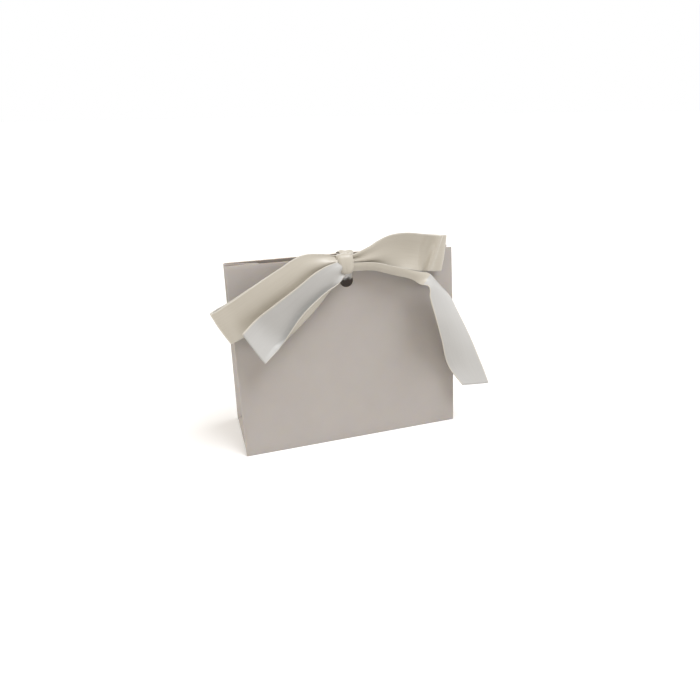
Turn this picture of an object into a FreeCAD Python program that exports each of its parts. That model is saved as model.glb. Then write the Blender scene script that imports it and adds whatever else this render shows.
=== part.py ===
import FreeCAD, Part
import math
import os

import Sketcher
from FreeCAD import Placement, Rotation, Vector

# A small wedding favour box folded from ivory card and closed by a satin ribbon tied in a bow.
# Two leaning panels stand on a base, folded gussets close the ends, and the ribbon runs through
# a punched hole in each panel and over the mouth. Millimetres, +Z up, front panel on the -Y side,
# origin in the middle of the base's underside.

doc = FreeCAD.newDocument("favour_box")
sheet = doc.addObject("Spreadsheet::Sheet", "Sizes")

SIZES = (
    ("box_width", 100.0),        # across the panels
    ("slant_height", 82.5),      # from the base crease up a panel to its top edge
    ("base_depth", 34.0),        # front to back, outside
    ("mouth_room", 0.75),        # spare room each side when the mouth is shut on its gussets
    ("mouth_travel", 15.8),      # how much further apart the top edges stand when it is open
    ("card_thickness", 0.5),
    ("crease_bead", 0.6),        # diameter of the rolled crease along a gusset's edge
    ("crease_gap", 0.1),         # between that crease and the card it folds from
    ("edge_gap", 0.35),          # between the base's edges and the panels folded up from them
    ("glue_gap", 0.05),          # glue line under a flap
    ("fold_gap", 0.9),           # each gusset half stops this far short of the middle crease
    ("gusset_swing", 37.3),      # degrees that a gusset half turns on its panel as the mouth opens
    ("fold_rise", 18.0),         # up a gusset's hinge to where its middle crease ends in the foot's tip
    ("foot_gap", 0.65),          # each side of the slanted crease between foot and gusset half
    ("foot_tip", 1.2),           # width left at the foot's blunted tip
    ("hole_diameter", 6.0),
    ("hole_drop", 10.1),         # hole centre below a panel's top edge
    ("tab_width", 9.0),          # base tab, inwards from the foot
    ("tab_inset", 4.0),          # base tab's ends from the panels
    ("flap_width", 9.0),         # glue flap, inwards from the gusset's rear crease
    ("flap_inset", 5.0),         # glue flap's ends from the base and from the top edge
    ("flap_taper", 4.0),         # slope cut off each end of a tab or flap
    ("ribbon_width", 16.0),
    ("ribbon_thickness", 0.35),
    ("knot_width", 6.6),
    ("knot_height", 9.8),
    ("knot_depth", 7.4),
    ("knot_corner", 2.9),        # rounding round the wrap
    ("knot_rim", 1.2),           # rounding at the knot's two ends
    ("knot_drop", 2.6),          # knot centre below the front panel's top edge
    ("knot_shift", -0.7),        # knot centre from the middle of the box
    ("knot_stand", 0.5),         # knot's back from the front panel
    ("seat_gap", 0.15),          # between the knot and each strip of ribbon that goes into it
    ("strand_rise", 0.9),        # ribbon's middle above the top edges where it crosses the mouth
    ("strand_share", 0.7),       # width of the gathered ribbon in a hole, as a share of the hole
)

for row, (name, number) in enumerate(SIZES, start=1):
    sheet.set("A%d" % row, name)
    sheet.set("B%d" % row, str(number))
    sheet.setAlias("B%d" % row, name)
doc.recompute()


def size(name):
    return float(sheet.get(name))


width = size("box_width")
height = size("slant_height")
depth = size("base_depth")
card = size("card_thickness")
bead = size("crease_bead") / 2
ribbon = size("ribbon_width")
satin = size("ribbon_thickness")

# The hinge line of a gusset half, inwards from its panel's middle plane. On the back panel the
# glued flap lies between the two.
hinge_inset = {"front": card / 2 + size("crease_gap") + bead}
hinge_inset["back"] = hinge_inset["front"] + size("glue_gap") + card
mouth = 2 * (card / 2 + hinge_inset["back"] + size("fold_gap") + size("mouth_room"))


def lean_for(gap):
    """Angle of a panel from upright when the top edges stand gap apart outside."""
    return math.asin((depth - gap) / 2 / height)


lean = lean_for(mouth)
open_lean = lean_for(mouth + size("mouth_travel"))
hinge_x = width / 2 - card / 2
crease_y = depth / 2 - card / 2

# Placements of what stands on a panel: x across, y into the box, z up the panel, with the origin
# on the base crease in the middle of the card.
tilt = Rotation(Vector(1, 0, 0), -math.degrees(lean))
about_face = Rotation(Vector(0, 0, 1), 180)
panel_frame = {
    "front": Placement(Vector(0, -crease_y, card / 2), tilt),
    "back": Placement(Vector(0, crease_y, card / 2), about_face.multiply(tilt)),
}
pieces = []


def new_body(label):
    body = doc.addObject("PartDesign::Body", label)
    body.Label = label
    pieces.append(body)
    return body


def new_sketch(body, plane_role, name):
    sketch = body.newObject("Sketcher::SketchObject", name)
    plane = [p for p in body.Origin.OriginFeatures if p.Role == plane_role][0]
    sketch.AttachmentSupport = [(plane, "")]
    sketch.MapMode = "FlatFace"
    return sketch


def worth(owner, expression):
    found = owner.evalExpression(expression)
    return float(getattr(found, "Value", found))


def bind(sketch, constraint, expression):
    index = sketch.addConstraint(constraint)
    sketch.setExpression("Constraints[%d]" % index, expression)


def draw_polygon(sketch, corners):
    """A closed outline whose corners are pairs of expressions in the sheet's sizes."""
    places = [Vector(worth(sketch, x), worth(sketch, y), 0) for x, y in corners]
    count = len(corners)
    for i in range(count):
        sketch.addGeometry(Part.LineSegment(places[i], places[(i + 1) % count]), False)
    for i in range(count):
        sketch.addConstraint(Sketcher.Constraint("Coincident", i, 2, (i + 1) % count, 1))
    for i, (x, y) in enumerate(corners):
        bind(sketch, Sketcher.Constraint("DistanceX", -1, 1, i, 1, places[i].x), x)
        bind(sketch, Sketcher.Constraint("DistanceY", -1, 1, i, 1, places[i].y), y)


def draw_circle(sketch, x, y, diameter):
    centre = Vector(worth(sketch, x), worth(sketch, y), 0)
    radius = worth(sketch, diameter) / 2
    sketch.addGeometry(Part.Circle(centre, Vector(0, 0, 1), radius), False)
    bind(sketch, Sketcher.Constraint("DistanceX", -1, 1, 0, 3, centre.x), x)
    bind(sketch, Sketcher.Constraint("DistanceY", -1, 1, 0, 3, centre.y), y)
    bind(sketch, Sketcher.Constraint("Diameter", 0, 2 * radius), diameter)


def draw_leaf_section(sketch, tall):
    """The section of a leaf of card: straight sides, and a round crease on the origin."""
    half = card / 2
    top = worth(sketch, tall)
    corners = [Vector(half, 0, 0), Vector(half, top, 0), Vector(-half, top, 0), Vector(-half, 0, 0)]
    for i in range(3):
        sketch.addGeometry(Part.LineSegment(corners[i], corners[i + 1]), False)
    round_crease = Part.Circle(Vector(0, 0, 0), Vector(0, 0, 1), half)
    sketch.addGeometry(Part.ArcOfCircle(round_crease, math.pi, 2 * math.pi), False)
    sketch.addConstraint(Sketcher.Constraint("Coincident", 0, 2, 1, 1))
    sketch.addConstraint(Sketcher.Constraint("Coincident", 1, 2, 2, 1))
    sketch.addConstraint(Sketcher.Constraint("Coincident", 2, 2, 3, 1))
    sketch.addConstraint(Sketcher.Constraint("Coincident", 3, 2, 0, 1))
    sketch.addConstraint(Sketcher.Constraint("Coincident", 3, 3, -1, 1))
    sketch.addConstraint(Sketcher.Constraint("Vertical", 0))
    sketch.addConstraint(Sketcher.Constraint("Vertical", 2))
    sketch.addConstraint(Sketcher.Constraint("Horizontal", 1))
    sketch.addConstraint(Sketcher.Constraint("PointOnObject", 0, 1, -1))
    bind(sketch, Sketcher.Constraint("Radius", 3, half), "Sizes.card_thickness / 2")
    bind(sketch, Sketcher.Constraint("DistanceY", -1, 1, 0, 2, top), tall)


def pad(body, sketch, length):
    feature = body.newObject("PartDesign::Pad", body.Label + "_pad")
    feature.Profile = sketch
    feature.SideType = "Symmetric"
    feature.setExpression("Length", length)
    return feature


def cut_through(body, sketch):
    """A cut through the card, and a test that it took something away."""
    doc.recompute()
    before = body.Shape.Volume
    feature = body.newObject("PartDesign::Pocket", body.Label + "_cut")
    feature.Profile = sketch
    feature.SideType = "Symmetric"
    feature.setExpression("Length", "Sizes.card_thickness * 4")
    doc.recompute()
    if not body.Shape.Volume < before:
        raise RuntimeError(body.Label + ": the cut missed the card")


def new_leaf(label, long, tall):
    """A leaf of card that turns on a round crease along its lower edge, local x."""
    body = new_body(label)
    section = new_sketch(body, "YZ_Plane", label + "_section")
    draw_leaf_section(section, tall)
    pad(body, section, long)
    return body


def new_card(label, corners):
    """A flat piece of card, centred in its thickness, with its outline in local x and y."""
    body = new_body(label)
    outline = new_sketch(body, "XY_Plane", label + "_outline")
    draw_polygon(outline, corners)
    pad(body, outline, "Sizes.card_thickness")
    return body


def new_feature(label, shape, frame):
    feature = doc.addObject("Part::Feature", label)
    feature.Label = label
    feature.Shape = shape
    feature.Placement = frame
    pieces.append(feature)
    return feature


# Base: the bottom of the box, inside the creases of the panels and feet.
base_x = "Sizes.box_width / 2 - Sizes.card_thickness - Sizes.edge_gap"
base_y = "Sizes.base_depth / 2 - Sizes.card_thickness - Sizes.edge_gap / 2"
base = new_card("base_panel", [
    ("-(%s)" % base_x, "-(%s)" % base_y),
    (base_x, "-(%s)" % base_y),
    (base_x, base_y),
    ("-(%s)" % base_x, base_y),
])
base.Placement = Placement(Vector(0, 0, card / 2), Rotation())

# Front and back panels: one leaf each, with the ribbon's punched hole in the middle near the top.
for end in ("front", "back"):
    panel = new_leaf(end + "_panel", "Sizes.box_width", "Sizes.slant_height")
    hole = new_sketch(panel, "XZ_Plane", end + "_hole")
    draw_circle(hole, "0", "Sizes.slant_height - Sizes.hole_drop", "Sizes.hole_diameter")
    cut_through(panel, hole)
    panel.Placement = panel_frame[end]


# Gussets: the folded ends of the box.
def gusset_fold(up, end, gap):
    """Angle off the panel's normal, and width, of a gusset half at a height up its crease.

    Its free edge then stands gap from the middle of the box with the mouth shut and also with
    the mouth open, when the half has turned on the panel by the gusset's swing.
    """
    inset = hinge_inset[end]
    shut_room = crease_y - inset * math.cos(lean) - up * math.sin(lean) - gap
    open_room = crease_y - inset * math.cos(open_lean) - up * math.sin(open_lean) - gap
    ratio = open_room * math.cos(lean) / (shut_room * math.cos(open_lean))
    swing = math.radians(size("gusset_swing"))
    angle = math.atan2(ratio - math.cos(swing), math.sin(swing))
    return angle, shut_room / (math.cos(angle) * math.cos(lean))


def foot_tip_at(up, angle, across, panel_lean):
    """Where the middle crease stands at this height: in from the foot's hinge, and above it."""
    run = across * math.cos(angle) + hinge_inset["front"]
    rise = up * math.cos(panel_lean) - run * math.sin(panel_lean)
    return across * math.sin(angle), rise + card / 2 - bead


def foot_reach(up):
    """The middle crease at this height from the foot's hinge, with the mouth shut and open."""
    angle, across = gusset_fold(up, "front", 0)
    swing = math.radians(size("gusset_swing"))
    return foot_tip_at(up, angle, across, lean), foot_tip_at(up, angle - swing, across, open_lean)


apex_up = size("fold_rise")
foot_shut, foot_wide = foot_reach(apex_up)
foot_length = math.hypot(*foot_shut)
foot_lean = math.degrees(math.atan2(*foot_shut))
foot_swing = foot_lean - math.degrees(math.atan2(*foot_wide))
GUSSET_SECTIONS = 8


def gusset_half(end, side):
    """A twisted leaf of card from a panel's side edge to the middle crease of the gusset."""
    root = Vector(side * hinge_x, hinge_inset[end], 0)
    sections = []
    for i in range(GUSSET_SECTIONS + 1):
        up = Vector(0, 0, height * i / GUSSET_SECTIONS)
        angle, across = gusset_fold(up.z, end, size("fold_gap"))
        run = Vector(-side * math.sin(angle), math.cos(angle), 0)
        face = Vector(run.y, -run.x, 0) * (card / 2)
        rim = root + up + run * across
        start = root + up
        sections.append(Part.makePolygon(
            [start + face, rim + face, rim - face, start - face, start + face]))
    crease = Part.makeCylinder(bead, height, root, Vector(0, 0, 1))
    leaf = Part.makeLoft(sections, True, False).fuse(crease)

    # The slanted crease to the foot: what lies under it is cut away.
    angle, across = gusset_fold(apex_up, end, 0)
    slant = Vector(-side * math.sin(angle) * across, math.cos(angle) * across, apex_up)
    sheet_normal = Vector(math.cos(angle), side * math.sin(angle), 0)
    above = slant.cross(sheet_normal).normalize()
    if above.z < 0:
        above = above * -1
    block = Part.makeBox(2 * depth, 2 * depth, depth, Vector(-depth, -depth, -depth))
    block.Placement = Placement(root + above * size("foot_gap"), Rotation(Vector(0, 0, 1), above))
    return leaf.cut(block)


SIDES = (("left", -1), ("right", 1))
for side_name, side in SIDES:
    for end, own_side in (("front", side), ("back", -side)):
        new_feature("%s_gusset_%s" % (side_name, end), gusset_half(end, own_side), panel_frame[end])


def gusset_foot():
    """A blunt triangle of card that stands on its crease, local x, and fits under a gusset."""
    corner = crease_y - hinge_inset["back"]
    gap = size("foot_gap") * math.hypot(corner, foot_length) / foot_length
    half_tip = size("foot_tip") / 2
    top = foot_length * (1 - (half_tip + gap) / corner)
    outline = [
        Vector(gap - corner, -card / 2, 0),
        Vector(corner - gap, -card / 2, 0),
        Vector(half_tip, -card / 2, top),
        Vector(-half_tip, -card / 2, top),
    ]
    leaf = Part.Face(Part.makePolygon(outline + outline[:1])).extrude(Vector(0, card, 0))
    crease = Part.makeCylinder(bead, 2 * (corner - gap), Vector(gap - corner, 0, 0), Vector(1, 0, 0))
    return leaf.fuse(crease)


for side_name, side in SIDES:
    lean_in = Rotation(Vector(0, 0, 1), 90 * side).multiply(Rotation(Vector(1, 0, 0), -foot_lean))
    foot_frame = Placement(Vector(side * hinge_x, 0, bead), lean_in)
    new_feature(side_name + "_gusset_foot", gusset_foot(), foot_frame)

# Base tabs, folded in from the feet and glued down on the base.
tab_far = "(Sizes.box_width / 2 - Sizes.card_thickness - 2 * Sizes.edge_gap)"
tab_near = "(%s - Sizes.tab_width)" % tab_far
tab_long = "(Sizes.base_depth / 2 - Sizes.tab_inset)"
tab_short = "(%s - Sizes.flap_taper)" % tab_long
for side_name, side in SIDES:
    tab = new_card(side_name + "_base_tab", [
        ("%d * %s" % (side, tab_far), "%d * %s" % (-side, tab_long)),
        ("%d * %s" % (side, tab_far), "%d * %s" % (side, tab_long)),
        ("%d * %s" % (side, tab_near), "%d * %s" % (side, tab_short)),
        ("%d * %s" % (side, tab_near), "%d * %s" % (-side, tab_short)),
    ])
    tab.Placement = Placement(Vector(0, 0, 1.5 * card + size("glue_gap")), Rotation())

# Glue flaps, folded in from the gussets' rear halves and glued to the inside of the back panel.
flap_far = "(Sizes.box_width / 2 - Sizes.edge_gap)"
flap_near = "(%s - Sizes.flap_width)" % flap_far
flap_low = "Sizes.flap_inset"
flap_high = "(Sizes.slant_height - Sizes.flap_inset)"
inside_back = Placement(Vector(0, card + size("glue_gap"), 0), Rotation(Vector(1, 0, 0), 90))
for side_name, side in SIDES:
    flap = new_card(side_name + "_glue_flap", [
        ("%d * %s" % (-side, flap_far), flap_low),
        ("%d * %s" % (-side, flap_near), flap_low + " + Sizes.flap_taper"),
        ("%d * %s" % (-side, flap_near), flap_high + " - Sizes.flap_taper"),
        ("%d * %s" % (-side, flap_far), flap_high),
    ])
    flap.Placement = panel_frame["back"].multiply(inside_back)

# Ribbon: one length, threaded through both holes and over the mouth, tied on the front panel.
# All of it is laid out on the panels: x across, off outwards from the panel's face, z up.
face = -card / 2
knot_z = height - size("knot_drop")
knot_off = size("knot_stand") + size("knot_depth") / 2
knot_centre = Vector(size("knot_shift"), face - knot_off, knot_z)
sixteenth = ribbon / 16

# Knot: the ribbon's tight turn round itself, a squared barrel with soft rims.
knot = new_body("ribbon_knot")
wrap = new_sketch(knot, "YZ_Plane", "knot_wrap")
draw_polygon(wrap, [
    ("-Sizes.knot_depth / 2", "-Sizes.knot_height / 2"),
    ("Sizes.knot_depth / 2", "-Sizes.knot_height / 2"),
    ("Sizes.knot_depth / 2", "Sizes.knot_height / 2"),
    ("-Sizes.knot_depth / 2", "Sizes.knot_height / 2"),
])
pad(knot, wrap, "Sizes.knot_width")


def soften(body, chosen, radius):
    """Rounds the chosen edges of a body's last feature."""
    doc.recompute()
    last = body.Tip
    names = ["Edge%d" % (i + 1) for i, edge in enumerate(last.Shape.Edges) if chosen(edge)]
    feature = body.newObject("PartDesign::Fillet", body.Label + "_fillet")
    feature.Base = (last, names)
    feature.setExpression("Radius", radius)


soften(knot, lambda edge: edge.BoundBox.XLength > size("knot_width") / 2, "Sizes.knot_corner")
soften(knot, lambda edge: edge.BoundBox.XLength < size("knot_width") / 2, "Sizes.knot_rim")
knot.Placement = panel_frame["front"].multiply(Placement(knot_centre, Rotation()))


def ribbon_arcs(centre, along, across, wide, dish):
    """The ribbon's thin section: the arcs of its two faces, bulged by dish off the chord."""
    normal = along.cross(across).normalize()
    half = across * (wide / 2)
    arcs = []
    for shift in (satin / 2, -satin / 2):
        place = centre + normal * shift
        arcs.append(Part.Arc(place - half, place + normal * dish, place + half))
    return arcs


LOFT_DEGREE = 2     # a low degree keeps the strip from swinging past its stops


def edge_between(shape, start, end):
    """The edge of a face that joins two of its corners."""
    for edge in shape.Edges:
        ends = [vertex.Point for vertex in edge.Vertexes]
        straight = ends[0].isEqual(start, satin / 10) and ends[-1].isEqual(end, satin / 10)
        turned = ends[0].isEqual(end, satin / 10) and ends[-1].isEqual(start, satin / 10)
        if straight or turned:
            return edge
    raise RuntimeError("the ribbon's faces don't meet")


def ribbon_strip(stops):
    """A strip of ribbon lofted through stops of centre, across, width and dish."""
    sections = []
    last = len(stops) - 1
    for i, (centre, across, wide, dish) in enumerate(stops):
        along = stops[min(i + 1, last)][0] - stops[max(i - 1, 0)][0]
        sections.append(ribbon_arcs(centre, along, across, wide, dish))
    skins = []
    for k in (0, 1):
        wires = [Part.Wire(arcs[k].toShape()) for arcs in sections]
        skins.append(Part.makeLoft(wires, False, False, False, LOFT_DEGREE))

    # The selvedges join the two faces along their sides, and the cut ends close the strip.
    faces = [skin.Faces[0] for skin in skins]
    for corner in ("StartPoint", "EndPoint"):
        rims = []
        for k in (0, 1):
            first, final = getattr(sections[0][k], corner), getattr(sections[last][k], corner)
            rims.append(edge_between(skins[k], first, final))
        same_way, crossed = (Part.makeRuledSurface(*rims, way) for way in (1, 2))
        faces.append(min(same_way, crossed, key=lambda strip: strip.Area))
    for near, far in (sections[0], sections[last]):
        faces.append(Part.Face(Part.Wire([
            near.toShape(),
            Part.LineSegment(near.EndPoint, far.EndPoint).toShape(),
            far.toShape(),
            Part.LineSegment(far.StartPoint, near.StartPoint).toShape(),
        ])))
    shell = Part.Compound(faces)
    shell.sewShape()
    solid = Part.Solid(shell.Shells[0] if shell.Shells else shell)
    if solid.Volume < 0:
        solid.reverse()
    return solid


def bow_stop(side, out, up, off, turn, tip, share, dish):
    """One stop of a bow's strip.

    out is outwards from the knot's end, up from the knot's centre and off from the panel, each in
    sixteenths of the ribbon's width, as is the dish. The line across the ribbon, lower edge to
    upper edge, leans outwards by turn and away from the panel by tip, in degrees. share is how
    much of the ribbon's width is spread there.
    """
    reach = size("knot_width") / 2 + size("seat_gap") + out * sixteenth
    centre = Vector(knot_centre.x + side * reach, face - off * sixteenth, knot_z + up * sixteenth)
    turn, tip = math.radians(turn), math.radians(tip)
    across = Vector(side * math.sin(turn) * math.cos(tip), -math.sin(tip), math.cos(turn) * math.cos(tip))
    return centre, across, ribbon * share, dish * side * sixteenth


def loop_turn(stops, back_stop):
    """The loop's round end: three stops on the half circle from the front layer to the back one."""
    centre, across, wide, dish = stops[-1]
    back_centre, back_across, back_wide, back_dish = back_stop
    middle = (centre + back_centre) * 0.5
    outward = (centre - stops[-2][0]).normalize()
    radius = (centre - back_centre).Length / 2
    turned = []
    for degrees in (45, 90, 135):
        angle = math.radians(degrees)
        place = middle + (centre - middle) * math.cos(angle) + outward * (radius * math.sin(angle))
        share = degrees / 180
        turned.append((
            place,
            (across * (1 - share) + back_across * share).normalize(),
            wide * (1 - share) + back_wide * share,
            dish * (1 - share) + back_dish * share,
        ))
    return turned


def bow_loop(side, front_layer, back_layer):
    """One loop: the front layer out from the knot, the round end, and the back layer home."""
    front = [bow_stop(side, *row) for row in front_layer]
    back = [bow_stop(side, *row) for row in back_layer]
    return ribbon_strip(front + loop_turn(front, back[0]) + back)


def bow_tail(side, rows):
    return ribbon_strip([bow_stop(side, *row) for row in rows])


# Each row: out, up, off, turn, tip, share, dish.
left_loop = bow_loop(-1, [
    (0.1, 1.1, 5.0, 0, 0, 0.29, 0.5),
    (7.1, 0.0, 5.9, 1, 1, 0.62, 0.7),
    (14.1, -1.3, 7.0, 9, 0, 0.84, 0.7),
    (22.0, -5.9, 7.6, 24, 3, 0.94, 0.5),
    (34.2, -12.7, 7.1, 27, 9, 0.97, 0.4),
    (43.1, -17.8, 6.3, 27, 8, 0.97, 0.3),
    (49.0, -20.6, 6.0, 27, 2, 0.92, 0.3),
], [
    (49.0, -20.6, 2.6, 27, 2, 0.92, 0.3),
    (43.1, -17.8, 2.1, 27, 2, 0.95, 0.3),
    (34.2, -12.7, 2.3, 27, 3, 0.95, 0.3),
    (22.0, -5.9, 2.6, 24, 2, 0.92, 0.3),
    (14.1, -1.4, 2.6, 9, 0, 0.8, 0.3),
    (7.1, 0.0, 2.7, 1, 0, 0.58, 0.3),
    (0.1, 1.0, 3.0, 0, 0, 0.29, 0.3),
])
right_loop = bow_loop(1, [
    (0.1, 1.4, 5.0, 0, 0, 0.3, 0.4),
    (6.6, 2.3, 5.8, -2, 9, 0.55, 0.6),
    (12.7, 3.3, 7.0, 0, 9, 0.83, 0.5),
    (21.4, 3.2, 8.0, -1, 7, 0.97, -0.4),
    (31.5, 1.8, 7.9, 0, 7, 1.0, -0.4),
    (38.9, 0.8, 6.6, 2, 3, 0.97, 0.3),
], [
    (38.9, 0.8, 2.4, 2, 2, 0.97, 0.3),
    (31.5, 1.6, 2.0, 0, 1, 0.98, 0.4),
    (21.4, 2.2, 1.9, -1, 0, 0.94, 0.4),
    (12.7, 2.3, 2.0, 0, 0, 0.78, 0.4),
    (6.6, 1.6, 2.6, -1, 0, 0.5, 0.4),
    (0.1, 1.0, 3.0, 0, 0, 0.28, 0.3),
])
left_tail = bow_tail(-1, [
    (0.1, -1.9, 7.0, 10, 10, 0.3, -0.5),
    (7.5, -5.8, 9.2, 36, 18, 0.68, -1.2),
    (15.8, -12.3, 10.7, 41, 14, 0.87, -1.8),
    (26.2, -19.8, 11.7, 42, 9, 0.97, -2.0),
    (39.1, -29.3, 11.0, 30, 7, 1.0, -1.6),
])
right_tail = bow_tail(1, [
    (0.1, -2.9, 4.7, 0, -60, 0.24, 0.3),
    (7.6, -2.9, 5.5, 110, -55, 0.26, 0.4),
    (16.5, -6.1, 7.0, 103, -50, 0.5, 0.6),
    (25.1, -8.5, 8.5, 97, -54, 0.68, 0.8),
    (30.6, -10.7, 9.5, 97, -52, 0.87, 1.0),
    (34.5, -17.7, 9.5, 97, -35, 1.0, 1.2),
    (37.9, -24.5, 9.7, 87, -21, 1.0, 1.2),
    (43.9, -36.8, 6.6, 85, -4, 1.0, 1.0),
    (50.1, -50.0, 5.0, 84, 0, 1.0, 0.7),
    (56.1, -61.8, 5.5, 98, -11, 1.0, 0.5),
])
for label, shape in (
    ("ribbon_loop_left", left_loop),
    ("ribbon_loop_right", right_loop),
    ("ribbon_tail_left", left_tail),
    ("ribbon_tail_right", right_tail),
):
    new_feature(label, shape, panel_frame["front"])


def middle_at(up):
    """Depth from a panel's middle plane to the middle of the box, at a height up the panel."""
    return (crease_y - up * math.sin(lean)) / math.cos(lean)


def strand(rows):
    """A gathered strand straight across the box: rows of depth, height, width and dish.

    The dish is in sixteenths of the ribbon's width.
    """
    across = Vector(1, 0, 0)
    return ribbon_strip([(Vector(0, y, z), across, wide, dish * sixteenth) for y, z, wide, dish in rows])


# The strand over the mouth and through the holes, parted at the middle of the box.
hole_z = height - size("hole_drop")
over_top = height + size("strand_rise")
gathered = size("hole_diameter") * size("strand_share")
knot_bottom = knot_z - size("knot_height") / 2
half_part = 2 * size("seat_gap")
bunched = ribbon / 2
low_middle = hole_z - 0.2 * sixteenth
strand_middle_top = (middle_at(over_top) - half_part, over_top, bunched, 0.5)
strand_middle_hole = (middle_at(hole_z) - half_part, low_middle, gathered, 0.8)
crown = size("strand_rise") / 4


def from_middle(share):
    """Depth at a share of the way from the middle of the mouth to the back of the knot."""
    return strand_middle_top[0] * (1 - share) + (face - size("knot_stand")) * share


new_feature("ribbon_strand_over_mouth", strand([
    strand_middle_top,
    (from_middle(1 / 3), over_top + crown, bunched * 0.92, 0.5),
    (from_middle(2 / 3), over_top + crown, bunched * 0.84, 0.5),
    (from_middle(1), over_top, bunched * 0.75, 0.4),
]), panel_frame["front"])
new_feature("ribbon_strand_front", strand([
    strand_middle_hole,
    (card, hole_z, gathered, 0.8),
    (face - 0.4 * sixteenth, hole_z + 0.2 * sixteenth, gathered, 0.8),
    (face - 1.5 * sixteenth, hole_z + 1.1 * sixteenth, gathered * 1.05, 0.6),
    (face - 2.3 * sixteenth, knot_bottom - 0.1 * sixteenth, gathered * 1.15, 0.4),
]), panel_frame["front"])
new_feature("ribbon_strand_back", strand([
    strand_middle_top,
    (0.8 * sixteenth, over_top + 0.3 * sixteenth, bunched * 1.05, 0.5),
    (face - 1.0 * sixteenth, over_top - 0.4 * sixteenth, bunched * 1.12, 0.4),
    (face - 1.5 * sixteenth, height - 2.0 * sixteenth, bunched * 1.17, 0.4),
    (face - 1.0 * sixteenth, hole_z + 5.0 * sixteenth, bunched, 0.5),
    (face - 1.3 * sixteenth, hole_z + 2.0 * sixteenth, bunched * 0.68, 0.7),
    (face - 0.6 * sixteenth, hole_z + 0.3 * sixteenth, gathered, 0.8),
    (card, hole_z, gathered, 0.8),
    strand_middle_hole,
]), panel_frame["back"])

doc.recompute()

for item in doc.Objects:
    if "Invalid" in item.State or "Error" in item.State:
        raise RuntimeError("%s: %s" % (item.Label, item.State))
for piece in pieces:
    if piece.Shape.isNull() or not piece.Shape.isValid():
        raise RuntimeError(piece.Label + ": no valid solid")

os.makedirs("parts", exist_ok=True)
for piece in pieces:
    piece.Shape.exportStep("parts/%s.step" % piece.Label)
    print("%-26s %9.1f mm3" % (piece.Label, piece.Shape.Volume))
print("lean %.3f, open %.3f, foot %.3f, foot swing %.3f, foot length %.3f, apex %.3f"
      % (math.degrees(lean), math.degrees(open_lean), foot_lean, foot_swing, foot_length, apex_up))
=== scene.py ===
import math

import bpy
import numpy as np
from mathutils import Matrix, Vector


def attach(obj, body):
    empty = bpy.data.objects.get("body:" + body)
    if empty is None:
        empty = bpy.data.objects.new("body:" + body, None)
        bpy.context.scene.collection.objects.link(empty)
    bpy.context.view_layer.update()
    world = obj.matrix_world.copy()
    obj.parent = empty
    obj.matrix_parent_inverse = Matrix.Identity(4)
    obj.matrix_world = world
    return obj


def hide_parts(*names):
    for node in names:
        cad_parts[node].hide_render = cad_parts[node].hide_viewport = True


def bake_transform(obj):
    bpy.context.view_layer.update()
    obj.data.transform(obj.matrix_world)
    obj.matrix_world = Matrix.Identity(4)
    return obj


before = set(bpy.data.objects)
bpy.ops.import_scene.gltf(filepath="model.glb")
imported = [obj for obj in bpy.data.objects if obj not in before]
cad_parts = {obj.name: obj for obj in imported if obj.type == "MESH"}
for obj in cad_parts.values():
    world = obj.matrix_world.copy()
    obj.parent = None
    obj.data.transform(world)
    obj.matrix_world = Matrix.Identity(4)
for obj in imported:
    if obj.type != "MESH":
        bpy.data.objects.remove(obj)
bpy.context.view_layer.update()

# The box and its ribbon, in millimetres, at the sizes of the solids
MM = 0.001
WIDTH = 100.0
HEIGHT = 82.5               # up the slope of a panel
DEPTH = 34.0                # front to back at the base
CARD = 0.5                  # thickness of the board
MOUTH = 6.2                 # front to back at the top, with the mouth shut
TRAVEL = 15.8               # how far the top edges part
SWING = math.radians(37.3)  # how far a gusset half turns on its panel as they part
HINGE_INSET = {"front": 0.65, "back": 1.2}      # gusset creases, in from a panel's middle plane
APEX_UP = 18.0              # where the slanted creases of an end meet, up the panel
HOLE_RADIUS = 3.0
HOLE_UP = HEIGHT - 10.1
RIBBON = 16.0               # stock width
SATIN = 0.3                 # thickness of the ribbon
KNOT = Vector((-0.7, -4.45, HEIGHT - 2.6))      # middle of its solid, on the front panel
KNOT_WIDE = 6.6             # along the bow
SEAT_GAP = 0.15             # from the knot's end to where the bow's loops and tails are counted from

CREASE_Y = DEPTH / 2 - CARD / 2     # a base crease from the middle of the box
HINGE_X = WIDTH / 2 - CARD / 2      # a side crease from the middle of the panel
LEAN = math.asin((DEPTH - MOUTH) / 2 / HEIGHT)
OPEN_LEAN = math.asin((DEPTH - MOUTH - TRAVEL) / 2 / HEIGHT)
FACE = -CARD / 2            # a panel's outer face from its middle plane

# Forms that folded board takes, finer than the solids
PANEL_BULGE = 0.8           # how far a panel's middle bows outwards
BULGE_LOST = 0.25           # share of that bow which is lost at the panel's sides
CREASE_ROUND = 0.3          # radius of the card's middle round a crease
TURN_LEAD = 0.4             # a gusset half starts to turn this far before its crease
FOLD_SEAM = 0.15            # each side of a crease between two leaves that turn
SLANT_SEAM = 1.5 * FOLD_SEAM        # the same, measured up the panel at a slanted crease
CUT_ROUND = 0.17            # rounding of a panel's cut edges
LEAF_ROUND = 0.05           # rounding of the edges of the leaves at the ends

ENDS = ("front", "back")
SIDES = (("left", -1), ("right", 1))


# Placing things on the leaning panels
def on_panel(end, points):
    """Points on a panel (x across, y into the box, z up the panel, in mm) in the frame, in metres."""
    points = np.asarray(points, float)
    x, y, z = points[..., 0], points[..., 1], points[..., 2]
    inward = y * math.cos(LEAN) + z * math.sin(LEAN)
    up = z * math.cos(LEAN) - y * math.sin(LEAN)
    side = 1 if end == "front" else -1
    placed = np.stack([side * x, side * (inward - CREASE_Y), up + CARD / 2], axis=-1)
    return placed * MM


def bulge(x, up):
    """How far a panel bows out of its plane."""
    rise = np.sin(np.pi * np.clip(up / HEIGHT, 0, 1))
    return PANEL_BULGE * rise * (1 - BULGE_LOST * (2 * x / WIDTH) ** 2)


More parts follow.
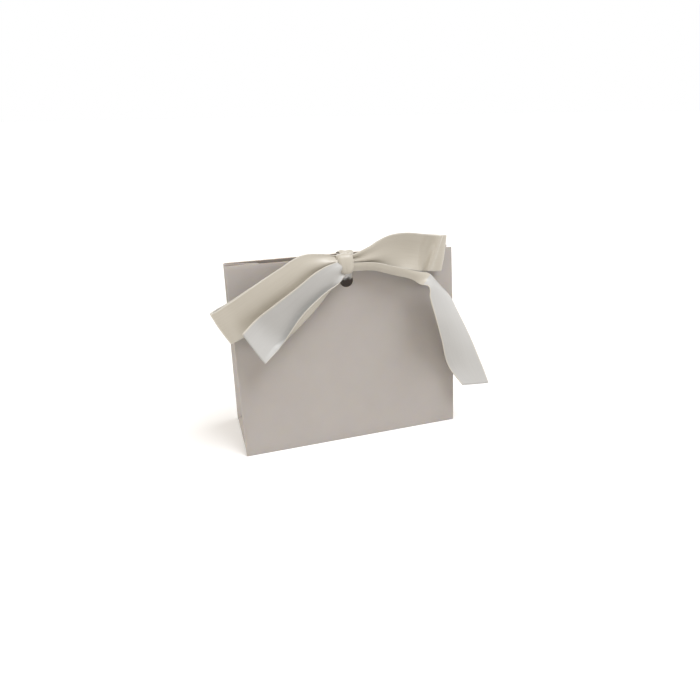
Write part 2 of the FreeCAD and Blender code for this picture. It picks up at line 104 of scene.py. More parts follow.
# Meshes
def mesh_piece(name, points, faces, material, uv=None):
    """A smooth mesh object from points in metres, with a map of its own where uv is given per point."""
    mesh = bpy.data.meshes.new(name)
    mesh.from_pydata([tuple(p) for p in points], [], faces)
    mesh.polygons.foreach_set("use_smooth", [True] * len(mesh.polygons))
    if uv is not None:
        layer = mesh.uv_layers.new(name="length")
        for loop in mesh.loops:
            layer.data[loop.index].uv = uv[loop.vertex_index]
    mesh.materials.append(material)
    piece = bpy.data.objects.new(name, mesh)
    bpy.context.scene.collection.objects.link(piece)
    return piece


def grid_faces(rows, columns):
    """Four-sided faces between the points of a grid, listed row by row."""
    faces = []
    for i in range(rows - 1):
        for j in range(columns - 1):
            a = i * columns + j
            faces.append((a, a + 1, a + columns + 1, a + columns))
    return faces


def give_thickness(piece, thickness, far_face=None, cut_edge=None, soft_edge=0.0):
    """Makes a sheet solid. Its far face and its cut edges can have materials of their own."""
    solid = piece.modifiers.new("thickness", "SOLIDIFY")
    solid.thickness = thickness * MM
    solid.offset = 0

    # Cloth, which has a far face, goes without even thickness: that throws spikes in its tight curls.
    solid.use_even_offset = far_face is None
    if far_face is not None:
        piece.data.materials.append(far_face)
        solid.material_offset = 1
    if cut_edge is not None:
        piece.data.materials.append(cut_edge)
        solid.material_offset_rim = len(piece.data.materials) - 1
    if soft_edge:
        rounding = piece.modifiers.new("soft_edge", "BEVEL")
        rounding.width = soft_edge * MM
        rounding.segments = 2
        rounding.limit_method = "ANGLE"
        rounding.angle_limit = math.radians(50)
        rounding.material = len(piece.data.materials) - 1


# Materials
def linear(hex_colour):
    """An sRGB hex colour as linear red, green, blue and alpha."""
    channels = [int(hex_colour[i:i + 2], 16) / 255 for i in (1, 3, 5)]
    return [c / 12.92 if c <= 0.04045 else ((c + 0.055) / 1.055) ** 2.4 for c in channels] + [1.0]


def set_inputs(tree, node, **inputs):
    """Sets a node's inputs, each to a value or to a link from a socket of another node.

    Base_Color stands for the socket "Base Color", and i6 for the socket with the number 6.
    """
    for name, value in inputs.items():
        socket = node.inputs[int(name[1:]) if name[1:].isdigit() else name.replace("_", " ")]
        if isinstance(value, bpy.types.NodeSocket):
            tree.links.new(value, socket)
        else:
            socket.default_value = value


def add_node(tree, kind, settings=None, **inputs):
    """Adds a node with its settings and inputs."""
    node = tree.nodes.new(kind)
    for name, value in (settings or {}).items():
        setattr(node, name, value)
    set_inputs(tree, node, **inputs)
    return node


def new_material(name):
    """A material with nodes, its tree and its shader."""
    material = bpy.data.materials.new(name)
    material.use_nodes = True
    tree = material.node_tree
    return material, tree, tree.nodes["Principled BSDF"]


COLOURS = {"data_type": "RGBA"}     # a mix of two colours: sockets 0, 6 and 7 in, socket 2 out


def ivory_card_material():
    """Uncoated ivory board, rolled smooth: dull, with soft cloudy fibres and a faint felt grain."""
    material, tree, shader = new_material("ivory_board_rolled")
    place = add_node(tree, "ShaderNodeTexCoord").outputs["Object"]
    cloud_mm = 9.0          # size of the clouds that the pulp settles in
    fibre_mm = 0.5          # fibres are finer than this, and drawn coarser so that they show
    grain_mm = 0.05         # height of the grain
    clouds = add_node(tree, "ShaderNodeTexNoise", Vector=place, Scale=1 / (cloud_mm * MM), Detail=3.0)
    fibres = add_node(tree, "ShaderNodeTexNoise", Vector=place, Scale=1 / (fibre_mm * MM), Detail=4.0)
    tone = add_node(
        tree, "ShaderNodeMix", COLOURS,
        i0=clouds.outputs["Fac"], i6=linear("#b4afac"), i7=linear("#bab5b1"),
    )
    grain = add_node(
        tree, "ShaderNodeBump", Strength=0.12, Distance=grain_mm * MM, Height=fibres.outputs["Fac"],
    )
    set_inputs(
        tree, shader, Base_Color=tone.outputs[2], Normal=grain.outputs["Normal"],
        Roughness=0.62, IOR=1.45, Specular_IOR_Level=0.35,
    )

    # Half a millimetre of board lets some warm light through to the inside.
    set_inputs(
        tree, shader, Subsurface_Weight=0.25, Subsurface_Radius=(1.0, 0.6, 0.2),
        Subsurface_Scale=1.0 * MM,
    )
    return material


def cut_edge_material():
    """The board's raw cut edge: dry, and mottled by the sheared fibres. It is paler than its faces,
    partly in its own tone and partly as a painted highlight of the light that catches the edge.
    """
    material, tree, shader = new_material("ivory_board_cut_edge_and_highlight")
    place = add_node(tree, "ShaderNodeTexCoord").outputs["Object"]
    fuzz_mm = 0.35          # sheared fibres are finer, and drawn coarser so that they show
    fuzz = add_node(tree, "ShaderNodeTexNoise", Vector=place, Scale=1 / (fuzz_mm * MM), Detail=3.0)
    # Paler than the faces: partly the raw edge's own tone, partly a painted highlight where the edge
    # catches the light.
    tone = add_node(
        tree, "ShaderNodeMix", COLOURS,
        i0=fuzz.outputs["Fac"], i6=linear("#d9cfc1"), i7=linear("#e6ded3"),
    )
    set_inputs(tree, shader, Base_Color=tone.outputs[2], Roughness=0.85, Specular_IOR_Level=0.2)
    return material


def satin_material(name, shade, light):
    """Polyester satin: long floats along the ribbon give a silky gloss, broken by faint streaks."""
    material, tree, shader = new_material(name)
    length = add_node(tree, "ShaderNodeUVMap", {"uv_map": "length"}).outputs["UV"]
    parts = add_node(tree, "ShaderNodeSeparateXYZ", Vector=length)
    streak_mm = 0.6         # real floats are 0.1 mm wide, drawn coarser so that they show
    float_mm = 18.0         # length of a streak, in which many floats run together
    relief_mm = 0.05        # height of the floats
    divide = {"operation": "DIVIDE"}
    across = add_node(tree, "ShaderNodeMath", divide, i0=parts.outputs["X"], i1=streak_mm)
    along = add_node(tree, "ShaderNodeMath", divide, i0=parts.outputs["Y"], i1=float_mm)
    stretch = add_node(tree, "ShaderNodeCombineXYZ", X=across.outputs[0], Y=along.outputs[0])
    streaks = add_node(tree, "ShaderNodeTexNoise", Vector=stretch.outputs[0], Scale=1.0, Detail=2.0)
    tone = add_node(
        tree, "ShaderNodeMix", COLOURS,
        i0=streaks.outputs["Fac"], i6=linear(shade), i7=linear(light),
    )

    # The selvedge is a paler band along each side: partly the selvedge's own tone, partly a painted
    # highlight where the ribbon's edges catch the light.
    selvedge_mm = 0.6
    from_middle = add_node(tree, "ShaderNodeMath", {"operation": "ABSOLUTE"}, i0=parts.outputs["X"])
    band = add_node(
        tree, "ShaderNodeMapRange", {"clamp": True}, Value=from_middle.outputs[0],
        From_Min=RIBBON / 2 - selvedge_mm, From_Max=RIBBON / 2 - selvedge_mm / 2,
    )
    edge_and_highlight = add_node(
        tree, "ShaderNodeMix", COLOURS,
        i0=band.outputs[0], i6=tone.outputs[2], i7=linear("#d3cfc6"),
    )

    # The floats stand a little proud, and draw the gloss out across the ribbon, along the weft.
    weave = add_node(
        tree, "ShaderNodeBump", Strength=0.06, Distance=relief_mm * MM, Height=streaks.outputs["Fac"],
    )
    weft = add_node(tree, "ShaderNodeTangent", {"direction_type": "UV_MAP", "uv_map": "length"})
    set_inputs(
        tree, shader, Base_Color=edge_and_highlight.outputs[2], Normal=weave.outputs["Normal"],
        Tangent=weft.outputs["Tangent"], Roughness=0.3, Anisotropic=0.55, IOR=1.5,
        Sheen_Weight=0.12, Sheen_Roughness=0.4,
    )
    return material


CARD_FACE = ivory_card_material()
CARD_EDGE = cut_edge_material()
# One satin in two painted tones, both with the same gloss: a cool white that paints the light on the
# tails, and a warmer beige that paints the warm light the loops, the knot and the turned-over band take
# from the card.
SATIN_COOL_LIT = satin_material("ivory_satin_painted_cool_light", "#bebebd", "#c6c6c5")
SATIN_WARM_LIT = satin_material("ivory_satin_painted_warm_light", "#c1bbaf", "#cac5ba")


# Card: the panels, with their creases turned in at the base and at the sides, and the punched hole
def card_piece(node, points, faces, soft_edge, cut_edge=None):
    """A leaf of the card blank, in place of the node and on the body of the same name."""
    piece = mesh_piece(node + "_card", points, faces, CARD_FACE)
    give_thickness(piece, CARD, cut_edge=cut_edge, soft_edge=soft_edge)
    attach(piece, node)
    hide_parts(node)


def spread(low, high, step):
    """Even places from low to high, about a step apart."""
    return list(np.linspace(low, high, max(2, round((high - low) / step) + 1)))


def mark(x, z):
    """A flat point's key, which is the same for points that meet."""
    return round(x, 6), round(z, 6)


def panel_sheet(lip):
    """Flat points and faces of a panel with a round hole, in mm across and up."""
    patch = 2 * HOLE_RADIUS             # half the side of the square round the hole
    fine, coarse, top = 1.5, 4, 2       # mesh steps beside the hole, away from it and above it
    turn = CREASE_ROUND * math.pi / 2
    bend = turn / 4                     # four faces round a crease
    side_run = HINGE_X - CREASE_ROUND
    half = spread(0, patch, fine) + spread(patch, side_run, coarse)[1:]
    half += spread(side_run, side_run + turn, bend)[1:]
    if lip:
        half.append(side_run + turn + lip)
    across = [-x for x in half[:0:-1]] + half
    up = spread(CREASE_ROUND - turn, CREASE_ROUND, bend)
    up += spread(CREASE_ROUND, HOLE_UP - patch, coarse)[1:]
    up += spread(HOLE_UP - patch, HOLE_UP + patch, fine)[1:]
    up += spread(HOLE_UP + patch, HEIGHT, top)[1:]
    points = [(x, z) for z in up for x in across]
    place = {mark(x, z): i for i, (x, z) in enumerate(points)}
    faces = []
    for face in grid_faces(len(up), len(across)):
        x, z = np.mean([points[i] for i in face], axis=0)
        if max(abs(x), abs(z - HOLE_UP)) > patch:
            faces.append(face)

    # Rings of faces from the square in to the hole's edge.
    rings = (0.6, 0.3, 0.1, 0.0)        # 1 on the square and 0 on the hole's edge
    steps = spread(-patch, patch, fine)[:-1]
    square = [(x, -patch) for x in steps] + [(patch, z) for z in steps]
    square += [(-x, patch) for x in steps] + [(-patch, -z) for z in steps]
    outer = [place[mark(x, z + HOLE_UP)] for x, z in square]
    for share in rings:
        ring = []
        for x, z in square:
            shrink = share + (1 - share) * HOLE_RADIUS / math.hypot(x, z)
            ring.append(len(points))
            points.append((x * shrink, z * shrink + HOLE_UP))
        for i in range(len(ring)):
            k = (i + 1) % len(ring)
            faces.append((outer[i], outer[k], ring[k], ring[i]))
        outer = ring
    used = sorted({i for face in faces for i in face})
    renumber = {old: new for new, old in enumerate(used)}
    return np.array(points)[used], [tuple(renumber[i] for i in face) for face in faces]


def turned_in(run, start):
    """A length past start is bent round a crease: how far it still goes on, and how far in."""
    angle = np.clip((run - start) / CREASE_ROUND, 0, math.pi / 2)
    onward = np.where(run > start, start + CREASE_ROUND * np.sin(angle), run)
    straight = np.maximum(run - start - CREASE_ROUND * math.pi / 2, 0)
    return onward, CREASE_ROUND * (1 - np.cos(angle)) + straight


def card_panel(end):
    """A panel. The back one also turns in by a lip at its sides, to its deeper gusset creases."""
    flat, faces = panel_sheet(HINGE_INSET[end] - HINGE_INSET["front"])
    x, side_in = turned_in(np.abs(flat[:, 0]), HINGE_X - CREASE_ROUND)
    down, base_in = turned_in(-flat[:, 1], -CREASE_ROUND)
    x, up = np.sign(flat[:, 0]) * x, -down
    depth = np.maximum(side_in, base_in) - bulge(x, up)
    points = on_panel(end, np.stack([x, depth, up], -1))
    card_piece(end + "_panel", points, faces, CUT_ROUND, cut_edge=CARD_EDGE)


# Card: the folded ends
def gusset_fold(up, end, gap):
    """Angle off the panel's normal, and width, of a gusset half, so that its free edge keeps to the
    middle of the box with the mouth shut and with it open."""
    inset = HINGE_INSET[end]
    shut = CREASE_Y - inset * math.cos(LEAN) - up * math.sin(LEAN) - gap
    wide = CREASE_Y - inset * math.cos(OPEN_LEAN) - up * math.sin(OPEN_LEAN) - gap
    ratio = wide * math.cos(LEAN) / (shut * math.cos(OPEN_LEAN))
    angle = math.atan2(ratio - math.cos(SWING), math.sin(SWING))
    return angle, shut / (math.cos(angle) * math.cos(LEAN))


def gusset_half(side_name, side, end):
    """A twisted leaf of card from a panel's side crease to the middle crease."""
    own_side = side if end == "front" else -side
    curl, run, rows = 5, 12, 30         # mesh steps round the crease, across the leaf and up it
    grid = np.zeros((rows + 1, curl + run, 3))
    for j in range(curl + run):
        share = max(0, j - curl) / (run - 1)
        low = APEX_UP * share + SLANT_SEAM
        for i in range(rows + 1):
            up = low + (HEIGHT - low) * i / rows
            angle, across = gusset_fold(up, end, FOLD_SEAM)
            rim = (HINGE_X - math.sin(angle) * across, HINGE_INSET[end] + math.cos(angle) * across)
            turn = angle * min(1, j / curl)
            x = HINGE_X - CREASE_ROUND * (1 - math.cos(turn))
            y = HINGE_INSET[end] - TURN_LEAD + CREASE_ROUND * math.sin(turn)
            x, y = x + (rim[0] - x) * share, y + (rim[1] - y) * share
            y -= bulge(HINGE_X, up) * (1 - share)
            grid[i, j] = (own_side * x, y, up)
    points = on_panel(end, grid.reshape(-1, 3))
    faces = grid_faces(rows + 1, curl + run)
    card_piece("%s_gusset_%s" % (side_name, end), points, faces, LEAF_ROUND)


def gusset_foot(side_name, side):
    """The triangle at the foot of an end, leaning in under the gusset."""
    angle, across = gusset_fold(APEX_UP, "front", 0)
    tip_in = math.sin(angle) * across
    run = math.cos(angle) * across + HINGE_INSET["front"]
    tip_up = APEX_UP * math.cos(LEAN) - run * math.sin(LEAN) + CARD / 2
    rows, columns = 16, 17
    first, span = 0.02, 0.95    # where its card starts and how far it goes, as shares of the way up
    foot_up = 0.3               # height of its crease on the base
    blunt = 0.1                 # half width that its slanted edges would leave at the very top
    corner = CREASE_Y - HINGE_INSET["front"]
    grid = np.zeros((rows + 1, columns, 3))
    for i in range(rows + 1):
        rise = first + span * i / rows
        half = (corner - FOLD_SEAM) * (1 - rise) + blunt
        for j in range(columns):
            y = half * (2 * j / (columns - 1) - 1)
            grid[i, j] = (side * (HINGE_X - tip_in * rise), y, foot_up + (tip_up - foot_up) * rise)
    faces = grid_faces(rows + 1, columns)
    card_piece(side_name + "_gusset_foot", grid.reshape(-1, 3) * MM, faces, LEAF_ROUND)


for end in ENDS:
    card_panel(end)
for side_name, side in SIDES:
    for end in ENDS:
        gusset_half(side_name, side, end)
    gusset_foot(side_name, side)

# The base, its tabs and the glue flaps keep their solids, with the card's own finish.
for node in ("base_panel", "left_base_tab", "right_base_tab", "left_glue_flap", "right_glue_flap"):
    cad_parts[node].data.materials.clear()
    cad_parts[node].data.materials.append(CARD_FACE)


# Ribbon
def smooth_through(stops, steps):
    """Points on a smooth line through rows of numbers, with so many steps in each stretch."""
    stops = np.asarray(stops, float)
    gaps = np.linalg.norm(np.diff(stops[:, :3], axis=0), axis=1)
    knots = np.concatenate([[0], np.cumsum(gaps)])
    slopes = np.gradient(stops, knots, axis=0)
    line = []
    for i in range(len(stops) - 1):
        for k in range(steps):
            t = k / steps
            line.append(
                stops[i] * (2 * t**3 - 3 * t**2 + 1) + slopes[i] * gaps[i] * (t**3 - 2 * t**2 + t)
                + stops[i + 1] * (3 * t**2 - 2 * t**3) + slopes[i + 1] * gaps[i] * (t**3 - t**2)
            )
    line.append(stops[-1])
    return np.array(line)


def unit(vectors):
    """The vectors at length 1."""
    return vectors / np.maximum(np.linalg.norm(vectors, axis=-1, keepdims=True), 1e-9)


def bow_stop(side, out, up, off, turn, tip, share, dish):
    """A stop of a bow's strip: centre, the line across it, its spread width and its dish.

    out is outwards from the knot's end, up from the knot's centre and off from the panel. The line
    across, lower edge to upper edge, leans outwards by turn and away from the panel by tip. share is
    the part of the ribbon's width that is spread there.
    """
    turn, tip = math.radians(turn), math.radians(tip)
    reach = KNOT_WIDE / 2 + SEAT_GAP + out
    centre = (KNOT.x + side * reach, FACE - off, KNOT.z + up)
    across = (side * math.sin(turn) * math.cos(tip), -math.sin(tip), math.cos(turn) * math.cos(tip))
    return centre + across + (RIBBON * share, dish * side)


def loop_turn(front, back):
    """Stops round a loop's end, on the half circle from the front layer to the back one."""
    start, finish = np.array(front[-1]), np.array(back[0])
    middle = (start[:3] + finish[:3]) / 2
    outward = unit(start[:3] - np.array(front[-2])[:3])
    radius = np.linalg.norm(start[:3] - finish[:3]) / 2
    turned = []
    for share in (0.25, 0.5, 0.75):
        stop = start * (1 - share) + finish * share
        angle = math.pi * share
        stop[:3] = middle + (start[:3] - middle) * math.cos(angle) + outward * radius * math.sin(angle)
        turned.append(tuple(stop))
    return turned


def ribbon_grid(stops, shape, side, steps=8, columns=33):
    """A ribbon's middle surface, in panel millimetres, and its map in millimetres across and along.

    shape gives, for a share along, the places across (-1 lower edge to 1 upper edge) and the spread
    width, how far each place moves across and out of the face, in millimetres.
    """
    line = smooth_through(stops, steps)
    centre, across = line[:, :3], unit(line[:, 3:6])
    along = unit(np.gradient(centre, axis=0))
    normal = unit(np.cross(along, across))
    lengths = np.concatenate([[0], np.cumsum(np.linalg.norm(np.diff(centre, axis=0), axis=1))])
    place = np.linspace(-1, 1, columns)
    grid = np.zeros((len(line), columns, 3))
    uv = np.zeros((len(line), columns, 2))
    for i in range(len(line)):
        wide, dish = line[i, 6], line[i, 7]
        aside, off = shape(lengths[i] / lengths[-1], place, wide)
        flat = place * wide / 2 + aside
        lift = dish * (1 - place**2) + off * side
        grid[i] = centre[i] + across[i] * flat[:, None] + normal[i] * lift[:, None]
        uv[i, :, 0] = place * RIBBON / 2
        uv[i, :, 1] = lengths[i]
    return grid, uv, lengths[-1]


def pleats(depth, folds, phase, fade):
    """Folds across a gathered end, which run out along the ribbon."""
    least = 0.08                    # what is left of the folds where the ribbon is spread
    uneven, slower = 0.45, 2.3      # a second, slower wave makes the folds uneven

    def shape(share, place, wide):
        gathered = (max(0.0, 1 - wide / RIBBON) + least) * math.exp(-share / fade)
        wave = np.sin(folds * math.pi * place + phase)
        second_wave = uneven * np.sin(slower * folds * place + 2 * phase)
        return 0 * place, depth * gathered * (wave + second_wave)
    return shape


def curled_edge(gather, curl, start, stop):
    """A gathered ribbon whose lower edge also folds over towards the viewer between two shares."""
    fold_radius = 0.45
    spring = 0.1                            # rise of the folded strip, for its width
    ease = 1.2                              # how softly the fold comes and goes
    fine_strip, fine_share = 2.0, 0.3       # at least so much of the edge has this share of columns

    def shape(share, place, wide):
        aside, off = gather(share, place, wide)
        inside = min(max((share - start) / (stop - start), 0.0), 1.0)
        over = curl * math.sin(math.pi * inside) ** ease
        strip = max(over, fine_strip)
        column = (place + 1) / 2
        fine = strip * column / fine_share
        coarse = strip + (wide + over - strip) * (column - fine_share) / (1 - fine_share)
        from_edge = np.where(column < fine_share, fine, coarse)
        past = np.maximum(over - from_edge, 0)
        seat = np.where(from_edge < over, past, from_edge - over) - wide / 2
        turned = np.clip(past / (math.pi * fold_radius), 0, 1)
        rolled = fold_radius * (1 - np.cos(math.pi * turned)) + spring * past
        return aside + seat - place * wide / 2, off + rolled
    return shape


def ribbon_piece(name, stops, shape, near, far, end="front", side=-1, **grid_sizes):
    """A length of ribbon in place of a node, with a satin for each of its two faces.

    On the bow's left (side -1) and right (side 1), near is the face that looks towards the viewer.
    """
    grid, uv, length = ribbon_grid(stops, shape, side, **grid_sizes)
    faces = grid_faces(*grid.shape[:2])
    if side == 1:
        faces = [face[::-1] for face in faces]
    points = on_panel(end, grid.reshape(-1, 3))
    piece = mesh_piece(name + "_satin", points, faces, near, uv.reshape(-1, 2))
    give_thickness(piece, SATIN, far_face=far)
    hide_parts(name)
    return piece, length


# Each row of the bow: out, up, off, turn, tip, share, dish, from the knot outwards or back to it
LEFT_LOOP_FRONT = (
    (-1.6, 1.1, 4.4, 0, 0, 0.25, 0.4),
    (0.1, 1.1, 4.6, 0, 0, 0.29, 0.5),
    (7.1, 0.0, 5.9, 1, 1, 0.62, 0.7),
    (14.1, -1.3, 7.0, 9, 0, 0.84, 0.7),
    (22.0, -5.9, 7.6, 24, 3, 0.94, 0.5),
    (34.2, -12.7, 7.1, 27, 9, 0.97, 0.4),
    (43.1, -17.8, 6.3, 27, 8, 0.97, 0.3),
    (49.0, -20.6, 6.0, 27, 2, 0.92, 0.3),
)
LEFT_LOOP_BACK = (
    (49.0, -20.6, 2.6, 27, 2, 0.92, 0.3),
    (43.1, -18.2, 2.1, 27, 2, 0.94, 0.3),
    (34.2, -13.3, 2.3, 27, 3, 0.93, 0.3),
    (22.0, -6.6, 2.6, 24, 2, 0.9, 0.3),
    (14.1, -2.0, 2.6, 9, 0, 0.78, 0.3),
    (7.1, -0.4, 3.2, 1, 0, 0.56, 0.3),
    (0.1, 0.6, 3.9, 0, 0, 0.27, 0.3),
    (-1.6, 0.6, 3.9, 0, 0, 0.25, 0.3),
)
RIGHT_LOOP_FRONT = (
    (-1.6, 1.3, 4.4, 0, 0, 0.26, 0.4),
    (0.1, 1.4, 4.6, 0, 0, 0.3, 0.4),
    (6.6, 2.3, 5.8, -2, 9, 0.55, 0.6),
    (12.7, 3.3, 7.0, 0, 9, 0.83, -0.6),
    (21.4, 3.2, 8.4, -1, 7, 0.97, -2.4),
    (28.4, 2.0, 7.9, 4, 7, 1.0, -2.2),
    (32.2, 1.5, 5.9, 14, 5, 0.99, -1.2),
    (35.2, 1.2, 7.6, 22, 3, 1.0, 0.1),
    (37.3, 1.0, 6.1, 18, 3, 1.0, 0.1),
    (39.8, 0.8, 5.4, 9, 3, 0.98, 0.3),
)
RIGHT_LOOP_BACK = (
    (39.6, 0.8, 2.2, 9, 2, 0.97, 0.3),
    (31.5, 1.6, 2.0, 4, 1, 0.98, 0.4),
    (21.4, 2.2, 1.9, -1, 0, 0.94, 0.4),
    (12.7, 2.3, 2.0, 0, 0, 0.78, 0.4),
    (6.6, 1.6, 3.0, -1, 0, 0.5, 0.4),
    (0.1, 0.8, 3.9, 0, 0, 0.27, 0.3),
    (-1.6, 0.8, 3.9, 0, 0, 0.25, 0.3),
)
LEFT_TAIL = (
    (-1.6, -1.6, 5.2, 8, 4, 0.36, 0.3),
    (0.3, -2.4, 6.6, 16, 8, 0.46, 0.2),
    (7.5, -5.8, 9.2, 36, 18, 0.72, -1.0),
    (15.8, -12.3, 10.5, 41, 14, 0.88, -1.8),
    (25.0, -19.0, 10.6, 42, 9, 0.97, -2.2),
    (31.5, -23.7, 10.0, 36, 8, 1.0, -2.0),
    (39.1, -29.3, 12.6, 30, 7, 1.0, -0.6),
)
RIGHT_TAIL = (
    (-1.6, -1.6, 4.6, 0, 10, 0.22, 0.3),
    (0.1, -1.7, 4.7, 0, 20, 0.24, 0.3),
    (7.6, -2.1, 5.8, 8, 42, 0.3, 0.4),
    (16.5, -4.6, 7.2, 14, 42, 0.3, 0.5),
    (26.6, -7.8, 8.8, 30, 10, 0.28, 0.4),
    (32.6, -11.0, 9.6, 82, -44, 0.6, 0.7),
    (36.3, -17.2, 9.5, 97, -33, 1.0, 1.2),
    (39.0, -24.5, 9.7, 87, -29, 1.0, 1.2),
    (44.8, -36.8, 6.9, 85, -16, 1.0, 1.0),
    (50.1, -50.0, 5.0, 84, 0, 1.0, 0.7),
    (56.1, -61.8, 5.5, 98, -11, 1.0, 0.5),
)


def bow_loop(name, side, front_rows, back_rows, shape):
    """A loop with its warm-lit face outwards, the satin painted with warm light: the front layer, the
    turn at its end, the back layer.
    """
    front = [bow_stop(side, *row) for row in front_rows]
    back = [bow_stop(side, *row) for row in back_rows]
    stops = front + loop_turn(front, back) + back
    piece, length = ribbon_piece(name, stops, shape, SATIN_WARM_LIT, SATIN_COOL_LIT, side=side)
    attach(piece, "front_panel")
    return piece, length


def bow_tail(name, side, rows, shape, turned_over=0.0):
    """A tail with its cool-lit face outwards, the satin painted with cool white light, past the share
    of its rows that is turned over.
    """
    stops = [bow_stop(side, *row) for row in rows]
    sizes = {"steps": 14, "columns": 57}
    piece, length = ribbon_piece(name, stops, shape, SATIN_COOL_LIT, SATIN_WARM_LIT, side=side, **sizes)
    piece.data.materials.append(SATIN_COOL_LIT)       # the far face of what is turned over
    faces = piece.data.polygons
    # What is turned over shows the satin painted with warm light outwards.
    for face in faces[:int(turned_over * len(faces))]:
        face.material_index = 1
    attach(piece, "front_panel")
    return piece, length


left_folds = pleats(depth=1.1, folds=1.6, phase=0.9, fade=0.22)
left_loop = bow_loop("ribbon_loop_left", -1, LEFT_LOOP_FRONT, LEFT_LOOP_BACK, left_folds)
right_folds = pleats(depth=1.2, folds=1.8, phase=2.7, fade=0.26)
right_loop = bow_loop("ribbon_loop_right", 1, RIGHT_LOOP_FRONT, RIGHT_LOOP_BACK, right_folds)
left_gather = pleats(depth=1.0, folds=1.4, phase=0.2, fade=0.15)
left_curl = curled_edge(left_gather, curl=4.6, start=0.1, stop=0.86)
left_tail = bow_tail("ribbon_tail_left", -1, LEFT_TAIL, left_curl)
right_gather = pleats(depth=0.25, folds=1.0, phase=0.4, fade=0.3)
right_tail = bow_tail("ribbon_tail_right", 1, RIGHT_TAIL, right_gather, turned_over=0.46)


def knot_piece():
    """The ribbon's tight turn round the bow: a squared barrel with pleats along the wrap.

    It is drawn slimmer than its solid, and a little to the left of it, as the photograph shows it.
    """
    around, long = 72, 40           # mesh steps round the wrap, and from end to end
    wide, deep, tall = KNOT_WIDE, 6.8, 8.6
    middle = KNOT + Vector((-0.6, 0.2, 0.0))
    square = 2.8                    # power of the rounded square that it is in section
    end_size = 0.5                  # size of its ends, where its middle has 1
    taper, slant = 0.3, 0.1         # wider towards the top, and leaning to the left
    folds = ((0.12, 5.0, 0.9), (0.04, 13.0, 2.0))   # depth, closeness and phase
    steady, swell = 0.8, 0.4        # the part of a fold that goes all round, and that comes and goes
    grid = np.zeros((long + 1, around + 1, 3))
    uv = np.zeros((long + 1, around + 1, 2))
    for i in range(long + 1):
        share = 2 * i / long - 1
        pinch = (1 - abs(share) ** 4) ** 0.5
        reach = end_size + (1 - end_size) * pinch
        pleat = sum(depth * math.sin(closeness * share + phase) for depth, closeness, phase in folds)
        for j in range(around + 1):
            angle = 2 * math.pi * j / around
            c, s = math.cos(angle), math.sin(angle)
            stretch = (abs(c) ** square + abs(s) ** square) ** (-1 / square)
            ripple = pleat * pinch * (steady + swell * math.sin(2 * angle + 2 * share))
            y = (deep / 2 * reach + ripple) * stretch * c
            z = (tall / 2 * reach + ripple) * stretch * s
            x = wide / 2 * share * (1 + taper * z / tall) - slant * z
            grid[i, j] = (middle.x + x, middle.y + y, middle.z + z)
            uv[i, j] = (share * RIBBON / 2, j / around * 2 * (deep + tall))
    points = on_panel("front", grid.reshape(-1, 3))
    faces = grid_faces(long + 1, around + 1)
    # Its satin is the copy painted with warm light.
    piece = mesh_piece("ribbon_knot_satin", points, faces, SATIN_WARM_LIT, uv.reshape(-1, 2))
    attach(piece, "front_panel")
    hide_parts("ribbon_knot")
    return piece


knot = knot_piece()


# Strands: the gathered ribbon over the mouth and through the holes
def middle_at(up):
    """Depth from a panel's middle plane to the middle of the box."""
    return (CREASE_Y - up * math.sin(LEAN)) / math.cos(LEAN)


STRAND_FOLDS = pleats(depth=0.3, folds=1.5, phase=1.57, fade=40.0)
OVER_TOP = HEIGHT + 0.45            # the ribbon's middle, just clear of the panels' top edges
TOP_ASIDE = 2.0                     # it crosses the mouth a little to the right of the middle
BUNCHED, GATHERED = 5.6, 4.2        # its width over the mouth, and through the holes
TOP_MIDDLE = (middle_at(OVER_TOP), OVER_TOP, BUNCHED, 0.4)
HOLE_MIDDLE = (0.0, middle_at(HOLE_UP), HOLE_UP - 0.2, GATHERED, 0.8)


def strand(name, end, rows):
    """A strand from the rows aside, depth into the box, up the panel, width and dish.

    Its rows reach the middle of the box. It is laid out once on its panel, as the panel leans with the
    mouth shut, and it is on no body.
    """
    stops = [(aside, y, z, 1.0, 0.0, 0.0, wide, dish) for aside, y, z, wide, dish in rows]
    piece = ribbon_piece(name, stops, STRAND_FOLDS, SATIN_COOL_LIT, SATIN_WARM_LIT, end)[0]
    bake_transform(piece)
    return piece


strand_over_mouth = strand("ribbon_strand_over_mouth", "front", [
    (TOP_ASIDE,) + TOP_MIDDLE,
    (1.4, 1.6, OVER_TOP, 5.0, 0.4),
    (0.7, 0.4, OVER_TOP, 4.4, 0.4),
    (-0.4, FACE - 1.6, OVER_TOP - 1.0, 4.0, 0.4),
])
strand_front = strand("ribbon_strand_front", "front", [
    HOLE_MIDDLE,
    (0.0, 0.5, HOLE_UP + 0.2, GATHERED, 0.8),
    (0.0, FACE - 0.4, HOLE_UP + 0.5, 4.4, 0.8),
    (-0.2, FACE - 1.6, HOLE_UP + 1.5, 4.8, 0.8),
    (-0.5, FACE - 2.6, HOLE_UP + 3.6, 4.8, 0.5),
])
strand_back = strand("ribbon_strand_back", "back", [
    (-TOP_ASIDE,) + TOP_MIDDLE,
    (-2.2, 0.8, OVER_TOP + 0.1, 6.2, 0.5),
    (-2.0, FACE - 1.0, OVER_TOP - 0.4, 7.0, 0.4),
    (-1.3, FACE - 1.5, HEIGHT - 2.0, 8.2, 0.4),
    (-0.5, FACE - 1.0, HOLE_UP + 5.0, 7.6, 0.5),
    (0.0, FACE - 1.3, HOLE_UP + 2.0, 5.4, 0.7),
    (0.0, FACE - 0.6, HOLE_UP + 0.3, GATHERED, 0.8),
    (0.0, 0.5, HOLE_UP, GATHERED, 0.8),
    HOLE_MIDDLE,
])


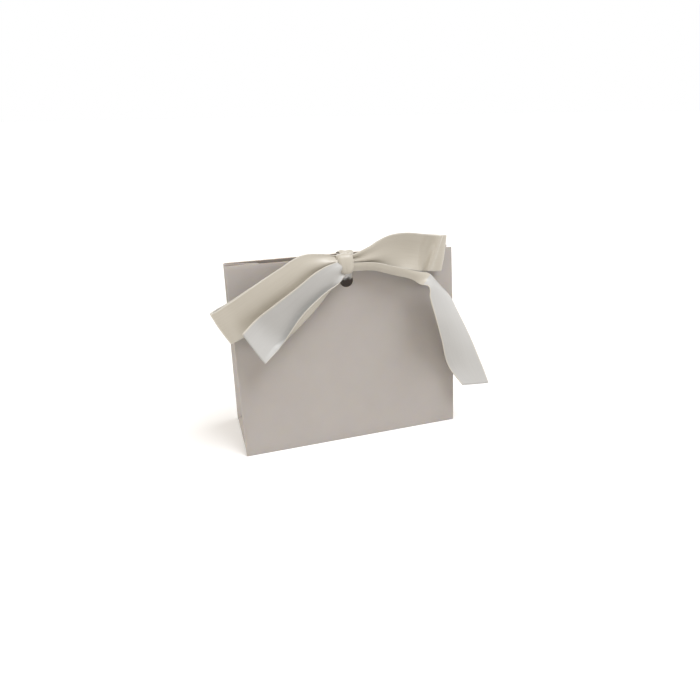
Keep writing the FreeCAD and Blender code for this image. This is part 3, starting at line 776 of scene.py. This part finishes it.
# Floor, light and camera
def background_rays(tree):
    """1 for the rays that show the background: the camera's, and those of gloss and glass."""
    path = add_node(tree, "ShaderNodeLightPath")
    seen = path.outputs["Is Camera Ray"]
    larger = {"operation": "MAXIMUM"}
    for ray in ("Is Glossy Ray", "Is Transmission Ray"):
        seen = add_node(tree, "ShaderNodeMath", larger, i0=seen, i1=path.outputs[ray]).outputs[0]
    return seen


def backdrop_material():
    """Plain pale paper that the camera, gloss and glass see near white, and that keeps the shadow."""
    material, tree, shader = new_material("backdrop_paper")
    whiter = 0.32           # light of its own, for the rays that show the background
    lift = add_node(
        tree, "ShaderNodeMath", {"operation": "MULTIPLY"}, i0=background_rays(tree), i1=whiter,
    )
    set_inputs(
        tree, shader, Base_Color=linear("#e8e8e8"), Roughness=0.9, Specular_IOR_Level=0.0,
        Emission_Color=(1, 1, 1, 1), Emission_Strength=lift.outputs[0],
    )
    return material


def studio():
    """A pale floor, a soft warm world that is seen as white, and two broad lamps."""
    reach = 6.0             # half the floor's side, in metres
    corners = [(-reach, -reach, 0), (reach, -reach, 0), (reach, reach, 0), (-reach, reach, 0)]
    floor = mesh_piece("floor", corners, [(0, 1, 2, 3)], backdrop_material())

    world = bpy.data.worlds.new("studio")
    bpy.context.scene.world = world
    world.use_nodes = True
    tree = world.node_tree
    seen = background_rays(tree)
    tint = add_node(
        tree, "ShaderNodeMix", COLOURS, i0=seen, i6=linear("#fff3e3"), i7=linear("#ffffff"),
    )
    lighting, background = 0.52, 1.0
    level = add_node(tree, "ShaderNodeMapRange", Value=seen, To_Min=lighting, To_Max=background)
    set_inputs(tree, tree.nodes["Background"], Color=tint.outputs[2], Strength=level.outputs[0])

    for name, toward, strength, softness, colour in (
        ("overhead", (0.35, -0.27, 0.9), 2.3, 35, "#f8fbff"),
        ("side", (-1.0, 0.0, 0.25), 1.1, 40, "#fffdfa"),
    ):
        lamp = bpy.data.lights.new(name, "SUN")
        lamp.energy = strength
        lamp.angle = math.radians(softness)
        lamp.color = linear(colour)[:3]
        light = bpy.data.objects.new(name, lamp)
        light.rotation_mode = "QUATERNION"
        light.rotation_quaternion = (-Vector(toward)).to_track_quat("-Z", "Y")
        light.location = Vector(toward)
        bpy.context.scene.collection.objects.link(light)


def photo_camera():
    """The camera that the panel's corners in the photograph fit."""
    focal_px, frame_px = 543.77, 700
    place = Vector((-64.789, -218.896, 140.438)) * MM
    look = Vector((0.268909, 0.869896, -0.413484))
    right = Vector((0.954150, -0.299196, -0.008925))
    camera = bpy.data.cameras.new("photo_camera")
    camera.sensor_width = 36
    camera.lens = focal_px / frame_px * camera.sensor_width
    camera.clip_start = 0.01
    camera.clip_end = 50
    viewer = bpy.data.objects.new("photo_camera", camera)
    turned = Matrix((right, right.cross(look), -look)).transposed().to_4x4()
    viewer.matrix_world = Matrix.Translation(place) @ turned
    bpy.context.scene.collection.objects.link(viewer)
    bpy.context.scene.camera = viewer


studio()
photo_camera()
bpy.context.scene.view_settings.view_transform = "Standard"
